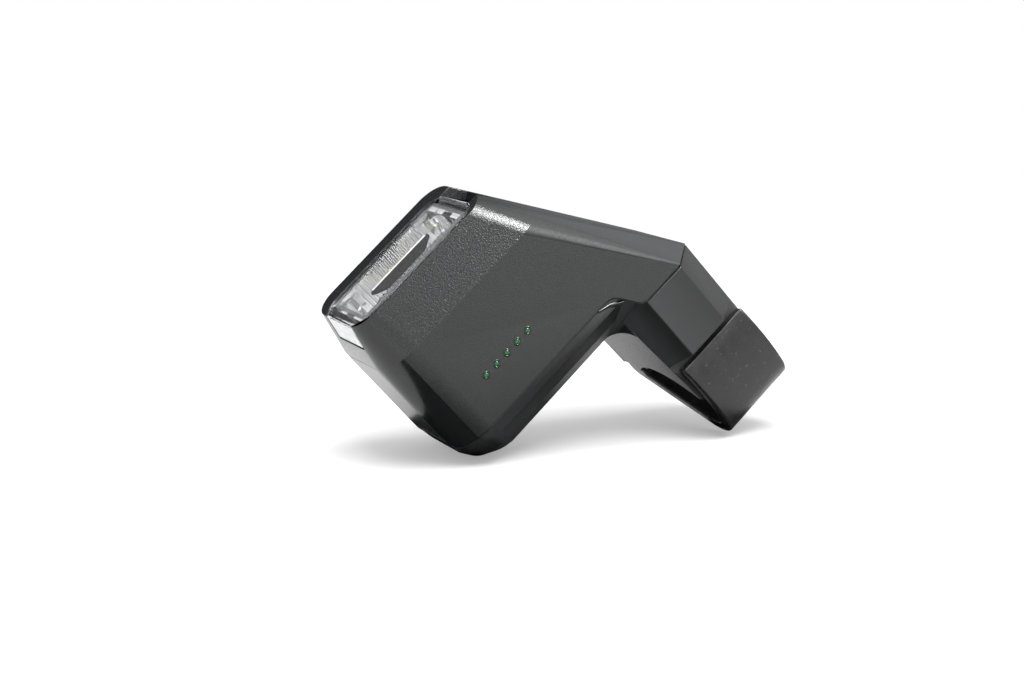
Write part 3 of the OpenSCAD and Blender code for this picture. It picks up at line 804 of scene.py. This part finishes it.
@dataclass
class RidgeHighlight(Grown):
    """A bright metal bar along a shallow bow, put on the front ridge of the lamp bridge as a painted
    highlight.

    Attributes:
        middle: Middle of the bow's chord.
        length: Length of the chord.
        rise: Height of the bow, towards -Y.
        thick: Radius of the bar.
    """

    middle: Point
    length: float
    rise: float
    thick: float

    def sizes(self) -> dict[str, Any]:
        """Gives the ends, the top of the bow and the thickness."""
        x, y, z = self.middle
        return {"Start": (x - self.length / 2, y, z), "Top": (x, y - 2 * self.rise, z),
                "End": (x + self.length / 2, y, z), "Highlight bar radius": self.thick}

    def grow(self, tree: Tree, size: dict[str, Socket]) -> Node:
        """Draws a small round bar along the bow."""
        bow = add(tree, "GeometryNodeCurveQuadraticBezier", {
            "Resolution": 16, "Start": size["Start"], "Middle": size["Top"], "End": size["End"]})
        return bar_along(tree, bow, size["Highlight bar radius"], sides=10, capped=True)


class FrontFinish(IntEnum):
    """Finishes of the front half of the case, in the order of its materials."""

    TOP = 0
    BAND = 1
    LEFT = 2
    RIGHT = 3


@dataclass
class Case:
    """The two halves of the case, the panel on its left face and the seal between the halves.

    Attributes:
        crease: Y of the crease behind the front band, in millimetres.
        slack: What still belongs to the band behind it, in millimetres.
        left_from: Share of a face's normal to the left from which it is polished instead of grained, and
            painted darker as shade.
        right_from: Share to the right from which it is matt and painted darker as shade, behind the crease
            and in the front band.
    """

    crease: float = -75.8
    slack: float = 0.05
    left_from: float = 0.4
    right_from: Pair = (0.06, 0.46)

    def build(self) -> None:
        """Makes the rounded halves and the panel, and dresses them and the seal."""
        Rounding(width=0.2, crease=14.0).replace(
            "front_housing", "case_front", Body.LIGHT, Slot.CASE,
            CASE_TOP, CASE_BAND, CASE_LEFT_GLOSS_AND_SHADE, CASE_RIGHT_MATT_AND_SHADE, pick=self.front_finish)
        Rounding(width=0.3, shortest=3.0, crease=24.0).replace(
            "rear_cover", "case_rear", Body.LIGHT, Slot.CASE, CASE_REAR)
        Rounding(width=0.2).replace("side_panel", "left_panel", Body.LIGHT, Slot.PANEL, PANEL)
        plain_nodes(SEAL, Slot.TRIM, "housing_seal")

    def front_finish(self, face: Face) -> int:
        """Gives the number of the finish that a face of the front half has; faces turned far left or right
        get darker copies, painted shade.
        """
        in_band = face.center.y < (self.crease + self.slack) * MM
        place = FrontFinish.BAND if in_band else FrontFinish.TOP
        # Faces turned far left or right get the darker copies: painted shade.
        if face.normal.x > self.left_from:
            return FrontFinish.LEFT
        return FrontFinish.RIGHT if face.normal.x < -self.right_from[place] else place


@dataclass
class Lamp:
    """Lens, reflector and the dark bridge that carries the light chips. Lengths are in millimetres.

    Attributes:
        middle: Middle of the reflector's mouth.
        trough: Depth and half height of the reflector.
        ends: Distance from the middle to where the rounded ends start, and their length.
        facets: Facets of a rounded end, across the trough and along it.
        inset: How far the ends lie inside the trough, in depth and height.
        reach: Angle from the trough's middle to the edge of an end, in degrees.
        ripple: How far the corners of the facets stray.
        window_from: Y from which the lens is frosted, for the windows at its corners.
        flutes: Number of the reflector's flutes.
        pitch: Distance between the flutes.
    """

    middle: Point = (39.7, -84.6, 1.5)
    trough: Pair = (12.0, 8.6)
    ends: Pair = (10.6, 4.8)
    facets: tuple[int, int] = (12, 5)
    inset: Pair = (0.4, 0.3)
    reach: float = 88.0
    ripple: float = 0.35
    window_from: float = -85.2
    flutes: int = 18
    pitch: float = 1.2

    def build(self) -> None:
        """Makes the lens and its lip, the reflector's flutes and ends, and the bridge and the metal bar
        painted as the highlight on its ridge.
        """
        Rounding(width=0.3).replace("lens", "clear_lens", Body.LIGHT, Slot.CLEAR, LENS, FROST,
                                    pick=lambda face: int(face.center.y > self.window_from * MM))
        plain_nodes(CHROME, Slot.BRIGHT, "lens_seal", "reflector_upper", "reflector_lower")
        plain_nodes(CHIP, Slot.CHIP, "main_leds")
        Rounding(width=0.2, least=18.0).replace(
            "led_bridge", "lamp_bridge", Body.LIGHT, Slot.TRIM, SPINDLE)
        self.round_ends()
        x, y, z = self.middle
        first = (x - self.pitch * (self.flutes - 1) / 2, y, z)
        Flutes("reflector_flutes", CHROME, Slot.BRIGHT, Body.LIGHT, first, self.flutes, self.pitch,
               self.trough).build()
        # A painted highlight: a bright metal bar along the bridge's front ridge.
        RidgeHighlight("bridge_edge", RIDGE_HIGHLIGHT, Slot.BRIGHT, Body.LIGHT, middle=(x, y - 0.25, z), length=17.6,
              rise=0.05, thick=0.28).build()
        Bead("lens_lip", LENS, Slot.CLEAR, Body.LIGHT, middle=(x, y - 2.5, 3.15),
             outline=(38.0, 21.3, 4.8), thick=0.11).build()

    def end_corner(self, side: int, ring: int, spot: int) -> Vector:
        """Gives a corner of a facet of a rounded end.

        Args:
            side: 1 for the left end, -1 for the right one.
            ring: Number of its ring, from the trough outwards.
            spot: Its number on that ring, from below.

        Returns:
            Its place in metres.
        """
        across, along = self.facets
        # The last ring stops before the pole, so that no facet shrinks to nothing.
        lean = 0.97 * math.pi / 2 * ring / along
        shrink = math.cos(lean) ** 0.5
        turn = math.radians(self.reach * (2 * spot / across - 1))
        # Uneven steps of 7.3 and 4.1 keep the facets apart. The first and last ring don't stray.
        stray = self.ripple * math.sin(7.3 * ring + 4.1 * spot + side) * math.sin(math.pi * ring / along)
        x, y, z = self.middle
        depth, half = (size - gap for size, gap in zip(self.trough, self.inset))
        return Vector((x + side * (self.ends[0] + self.ends[1] * math.sin(lean)),
                       y + depth * shrink * math.cos(turn) + stray,
                       z + half * shrink * math.sin(turn))) * MM

    def round_ends(self) -> None:
        """Closes the trough at both ends with a faceted bright shell."""
        across, along = self.facets
        shape = bmesh.new()
        for side in (-1, 1):
            rings = [[shape.verts.new(self.end_corner(side, ring, spot)) for spot in range(across + 1)]
                     for ring in range(along + 1)]
            for low, high in zip(rings, rings[1:]):
                for j in range(across):
                    corners = (low[j], low[j + 1], high[j + 1], high[j])
                    shape.faces.new(corners if side > 0 else corners[::-1])
        mesh = bpy.data.meshes.new("reflector_ends")
        mesh.materials.append(CHROME.make())
        shape.to_mesh(mesh)
        shape.free()
        settle(linked("reflector_ends", mesh), Body.LIGHT, Slot.BRIGHT)


@dataclass
class Controls:
    """Charge dots, power button and the flap over the charging port. Lengths are in millimetres.

    Attributes:
        dot: Middle of the first charge dot.
        pitch: Distance between the dots.
        dots: Number of dots.
        button: Middle of the button's face.
        flap: Middle of the flap's face.
        arc: Radius of the arc of the flap's ribs, which is as good as straight.
    """

    dot: Point = (31.6, -58.7, 19.0)
    pitch: float = 3.5
    dots: int = 5
    button: Point = (24.0, -36.3, 1.0)
    flap: Point = (43.0, -37.4, 5.6)
    arc: float = 200.0

    def build(self) -> None:
        """Dresses the controls and adds the dots' rims and domes, a ring and ribs."""
        plain_nodes(GUIDE, Slot.GREEN, "gauge_lights")
        step = (self.pitch, 0.0, 0.0)
        Row("dot_rims", TRIM, Slot.TRIM, Body.LIGHT, self.dot, self.dots, step, radius=0.8, thick=0.2,
            height=0.5).build()
        Row("dot_domes", GUIDE, Slot.GREEN, Body.LIGHT, self.dot, self.dots, step, radius=0.62).build()
        Rounding(width=0.5).replace("power_button", "round_button", Body.BUTTON, Slot.BUTTON, BUTTON)
        Row("button_ring", BUTTON, Slot.BUTTON, Body.BUTTON, self.button, count=1, step=(0.0, 0.0, 1.0),
            radius=2.6, thick=0.3, height=0.7, turn=ACROSS_Y).build()
        Rounding(width=0.3).replace("port_cover", "charging_flap", Body.FLAP, Slot.RUBBER, STRAP)
        x, y, z = self.flap
        Ribs("flap_ribs", STRAP, Slot.RUBBER, Body.FLAP, middle=(x, y - self.arc, z), radius=self.arc,
             angles=(-0.6, 0.6), count=4, length=8.6, thick=0.3).build()


@dataclass
class BarClamp:
    """Rubber strap, its pin and the pad that lies on the handlebar."""

    def build(self) -> None:
        """Makes the strap and the ribbed pad and dresses the pin."""
        Rounding(width=0.6, steps=4).replace("strap", "rubber_strap", Body.STRAP, Slot.RUBBER, STRAP)
        Rounding(width=0.25).replace("bar_pad", "saddle_pad", Body.LIGHT, Slot.RUBBER, SEAL)
        Ribs("pad_ribs", SEAL, Slot.RUBBER, Body.LIGHT, middle=(-0.5, 0.0, 0.0), radius=16.2,
             angles=(132.0, 212.0), count=17, length=18.4, thick=0.4).build()
        plain_nodes(STEEL, Slot.STEEL, "strap_pin")


@dataclass
class Inside:
    """Cell, board, cooling plate and fasteners, which the case hides."""

    def build(self) -> None:
        """Dresses the solids inside the case."""
        plain_nodes(SINK, Slot.SINK, "heat_sink")
        plain_nodes(STEEL, Slot.STEEL, "sink_screws", "board_screws", "housing_screws", "charge_port")
        plain_nodes(NICKEL, Slot.STEEL, "battery_tabs")
        plain_nodes(BOARD, Slot.BOARD, "main_board")
        plain_nodes(CELL, Slot.CELL, "battery_cell")
        plain_nodes(WIRE, Slot.WIRE, "led_leads")
        plain_nodes(TRAY, Slot.TRAY, "battery_cradle")
        plain_nodes(WHITE_CHIP, Slot.WHITE, "gauge_leds", "button_switch")


def sheet(name: str, middle: Vector, side: Vector, rise: Vector, material: Material) -> Object:
    """Makes a flat rectangle for the stage.

    Args:
        name: Its name.
        middle: Its middle, in metres.
        side: Way from the middle to one edge.
        rise: Way from the middle to the next edge.
        material: Its material.

    Returns:
        The rectangle, linked into the scene.
    """
    corners = [middle + side * x + rise * y for x, y in ((-1, -1), (1, -1), (1, 1), (-1, 1))]
    mesh = bpy.data.meshes.new(name)
    mesh.from_pydata(corners, [], [(0, 1, 2, 3)])
    mesh.materials.append(material)
    return linked(name, mesh)


def seen_rays(tree: Tree) -> Socket:
    """Gives 1 for rays that the camera sees, straight, mirrored or let through, and 0 for others."""
    path = add(tree, "ShaderNodeLightPath")
    seen = path.outputs["Is Camera Ray"]
    for name in ("Is Glossy Ray", "Is Transmission Ray"):
        either = add(tree, "ShaderNodeMath", {0: seen, 1: path.outputs[name]}, operation="MAXIMUM")
        seen = either.outputs[0]
    return seen


@dataclass(frozen=True)
class Card:
    """A card that only mirrored rays see: a painted reflection, dark or grey. Lengths are in millimetres.

    Attributes:
        name: Its name.
        place: Its middle.
        aim: Direction that it faces.
        size: Its width and height.
        colour: Its colour.
    """

    name: str
    place: Vector
    aim: Vector
    size: Pair
    colour: str

    def hang(self, right: Vector) -> None:
        """Hangs the card with its width as near the picture's right as its aim allows."""
        aim = self.aim.normalized()
        side = (right - right.dot(aim) * aim).normalized()
        rise = aim.cross(side)
        wide, high = (length / 2 * MM for length in self.size)
        paint = Finish("matt_card_" + self.name, self.colour, 1.0).make()
        card = sheet(self.name, self.place * MM, side * wide, rise * high, paint)
        card.visible_camera = False
        card.visible_diffuse = False
        card.visible_shadow = False
        card.visible_transmission = False


@dataclass(frozen=True)
class Softbox:
    """A square lamp that faces the object.

    Attributes:
        name: Its name.
        place: Its place from the middle of the object, in metres.
        size: Length of its side in metres.
        power: Its power in watts.
        lights: Whether it lights surfaces, or only makes highlights on them.
    """

    name: str
    place: Vector
    size: float
    power: float
    lights: bool

    def hang(self, middle: Vector) -> None:
        """Hangs the lamp and turns it to the object's middle."""
        data = bpy.data.lights.new(self.name, "AREA")
        data.shape = "SQUARE"
        data.size = self.size
        data.energy = self.power
        lamp = linked(self.name, data)
        lamp.visible_diffuse = self.lights
        turn = self.place.to_track_quat("Z", "Y").to_matrix().to_4x4()
        lamp.matrix_world = Matrix.Translation(middle + self.place) @ turn


@dataclass
class Studio:
    """Floor, cards, lamps, world and the camera at the photograph's angle.

    Attributes:
        eye: Camera position in millimetres.
        right: Direction of the picture's right.
        down: Direction of the picture's bottom.
        focal: Focal length in pixels.
        picture: Width of the picture in pixels.
        sensor: Width of the camera's sensor in millimetres.
        tilt: Angle from the picture's top to the way up from the floor, in degrees.
        floor_gap: Distance of the floor below the object, in metres.
        floor_half: Half the width of the floor, in metres.
        floor_fade: Distances from the floor's middle between which it fades out, in metres.
        floor_glow: Strength of the floor's own light where it is seen.
        surround: Strength of the white surround as a light and as seen.
    """

    eye: Point = (117.0, -252.4, 417.9)
    right: Point = (-0.669, 0.607, 0.429)
    down: Point = (0.7209, 0.67, 0.1773)
    focal: float = 1989.0
    picture: int = 1024
    sensor: float = 36.0
    tilt: float = 11.0
    floor_gap: float = 0.0002
    floor_half: float = 1.2
    floor_fade: Pair = (0.16, 0.4)
    floor_glow: float = 0.3
    surround: Pair = (0.55, 1.0)

    def build(self) -> None:
        """Makes the camera, the floor, the cards, the lamps and the world."""
        right = Vector(self.right).normalized()
        up = -Vector(self.down)
        up = (up - up.dot(right) * right).normalized()
        back = right.cross(up)
        self.place_camera(right, up, back)
        lift = math.radians(self.tilt)
        floor_up = (up * math.cos(lift) + back * math.sin(lift)).normalized()
        toward = right.cross(floor_up)
        level = self.lay_floor(right, floor_up, toward)
        self.hang_cards(right, floor_up, toward, level)
        self.hang_lamps()
        self.light_world()

    def place_camera(self, right: Vector, up: Vector, back: Vector) -> None:
        """Sets the camera where the photograph was taken from.

        Args:
            right: Direction of the picture's right.
            up: Direction of the picture's top.
            back: Direction from the object to the camera.
        """
        data = bpy.data.cameras.new("photo_camera")
        data.sensor_fit = "HORIZONTAL"
        data.sensor_width = self.sensor
        data.lens = self.focal * self.sensor / self.picture
        data.clip_start = 0.01
        data.clip_end = 20.0
        camera = linked("photo_camera", data)
        turn = Matrix((right, up, back)).transposed()
        camera.matrix_world = Matrix.Translation(Vector(self.eye) * MM) @ turn.to_4x4()
        bpy.context.scene.camera = camera

    def lay_floor(self, right: Vector, up: Vector, toward: Vector) -> float:
        """Lays the pale floor that the light rests on, seen from above only.

        Args:
            right: Direction of the picture's right.
            up: Direction away from the floor.
            toward: Direction along the floor to the camera.

        Returns:
            Height of the floor along up, in metres.
        """
        heights = (up.dot(spot.co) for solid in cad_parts.values() for spot in solid.data.vertices)
        level = min(heights) - self.floor_gap
        middle = (CAD_BOX[0] + CAD_BOX[1]) / 2
        middle += up * (level - up.dot(middle))
        half = self.floor_half
        sheet("floor", middle, right * half, toward * -half, self.floor_paint(middle))
        return level

    def floor_paint(self, middle: Vector) -> Material:
        """Gives white paper that fades out with distance and can't be seen from below."""
        made = bpy.data.materials.new("white_paper")
        tree = empty_tree(made)
        where = add(tree, "ShaderNodeTexCoord").outputs["Object"]
        far = add(tree, "ShaderNodeVectorMath", {0: where, 1: tuple(middle)}, operation="DISTANCE")
        fade = ranged(tree, far.outputs["Value"], self.floor_fade, (0.0, 1.0))
        paper = add(tree, "ShaderNodeBsdfDiffuse", {"Color": linear("#f0f0f0")})
        lift = add(tree, "ShaderNodeMath", {0: seen_rays(tree), 1: self.floor_glow}, operation="MULTIPLY")
        glow = add(tree, "ShaderNodeEmission", {"Color": (1, 1, 1, 1), "Strength": lift})
        lit = add(tree, "ShaderNodeAddShader", {0: paper, 1: glow})
        below = add(tree, "ShaderNodeNewGeometry").outputs["Backfacing"]
        gone = add(tree, "ShaderNodeMath", {0: below, 1: fade}, operation="MAXIMUM")
        nothing = add(tree, "ShaderNodeBsdfTransparent")
        surface = add(tree, "ShaderNodeMixShader", {0: gone, 1: lit, 2: nothing})
        add(tree, "ShaderNodeOutputMaterial", {"Surface": surface})
        return made

    def hang_cards(self, right: Vector, up: Vector, toward: Vector, level: float) -> None:
        """Hangs the cards that keep the glossy black plastic from mirroring white all round: painted
        reflections, dark under and behind it and grey above it.

        Args:
            right: Direction of the picture's right.
            up: Direction away from the floor.
            toward: Direction along the floor to the camera.
            level: Height of the floor along up, in metres.
        """
        under = right * -34.0 + up * (level / MM + 1.0) + toward * 44.0
        behind = Vector((-3.0, -178.0, -226.0))
        above = Vector((-293.0, -88.0, 17.0))
        # The dark card just above the floor under the object is a painted shadow: in reflections it stands
        # in for the floor's shade there.
        Card("card_under", under, up, (92.0, 76.0), "#080808").hang(right)
        Card("card_behind", behind, Vector((0.17, 0.36, 0.92)), (400.0, 400.0), "#0c0c0c").hang(right)
        Card("card_above", above, Vector((1.0, 0.1, 0.0)), (300.0, 300.0), "#808080").hang(right)

    def hang_lamps(self) -> None:
        """Hangs a wide soft lamp and a small one that only makes the highlight on the corner."""
        middle = (CAD_BOX[0] + CAD_BOX[1]) / 2
        Softbox("soft_top", Vector((-0.38, -0.5, 0.2)), size=0.5, power=5.0, lights=True).hang(middle)
        Softbox("corner_glint", Vector((-0.434, -0.133, 0.318)), size=0.18, power=9.0,
                lights=False).hang(middle)

    def light_world(self) -> None:
        """Makes the surroundings white to the eye and a plain soft light on the object."""
        world = bpy.data.worlds.new("white_surround")
        tree = empty_tree(world)
        level = ranged(tree, seen_rays(tree), (0.0, 1.0), self.surround)
        glow = add(tree, "ShaderNodeBackground", {"Color": (1, 1, 1, 1), "Strength": level})
        add(tree, "ShaderNodeOutputWorld", {"Surface": glow})
        bpy.context.scene.world = world


def main() -> None:
    """Builds the sub-assemblies in order."""
    logging.basicConfig(level=logging.INFO, format="%(name)s: %(message)s")
    bpy.context.scene.view_settings.view_transform = "Standard"
    for part in (Studio(), Case(), Lamp(), Controls(), BarClamp(), Inside()):
        part.build()


if __name__ == "__main__":
    main()
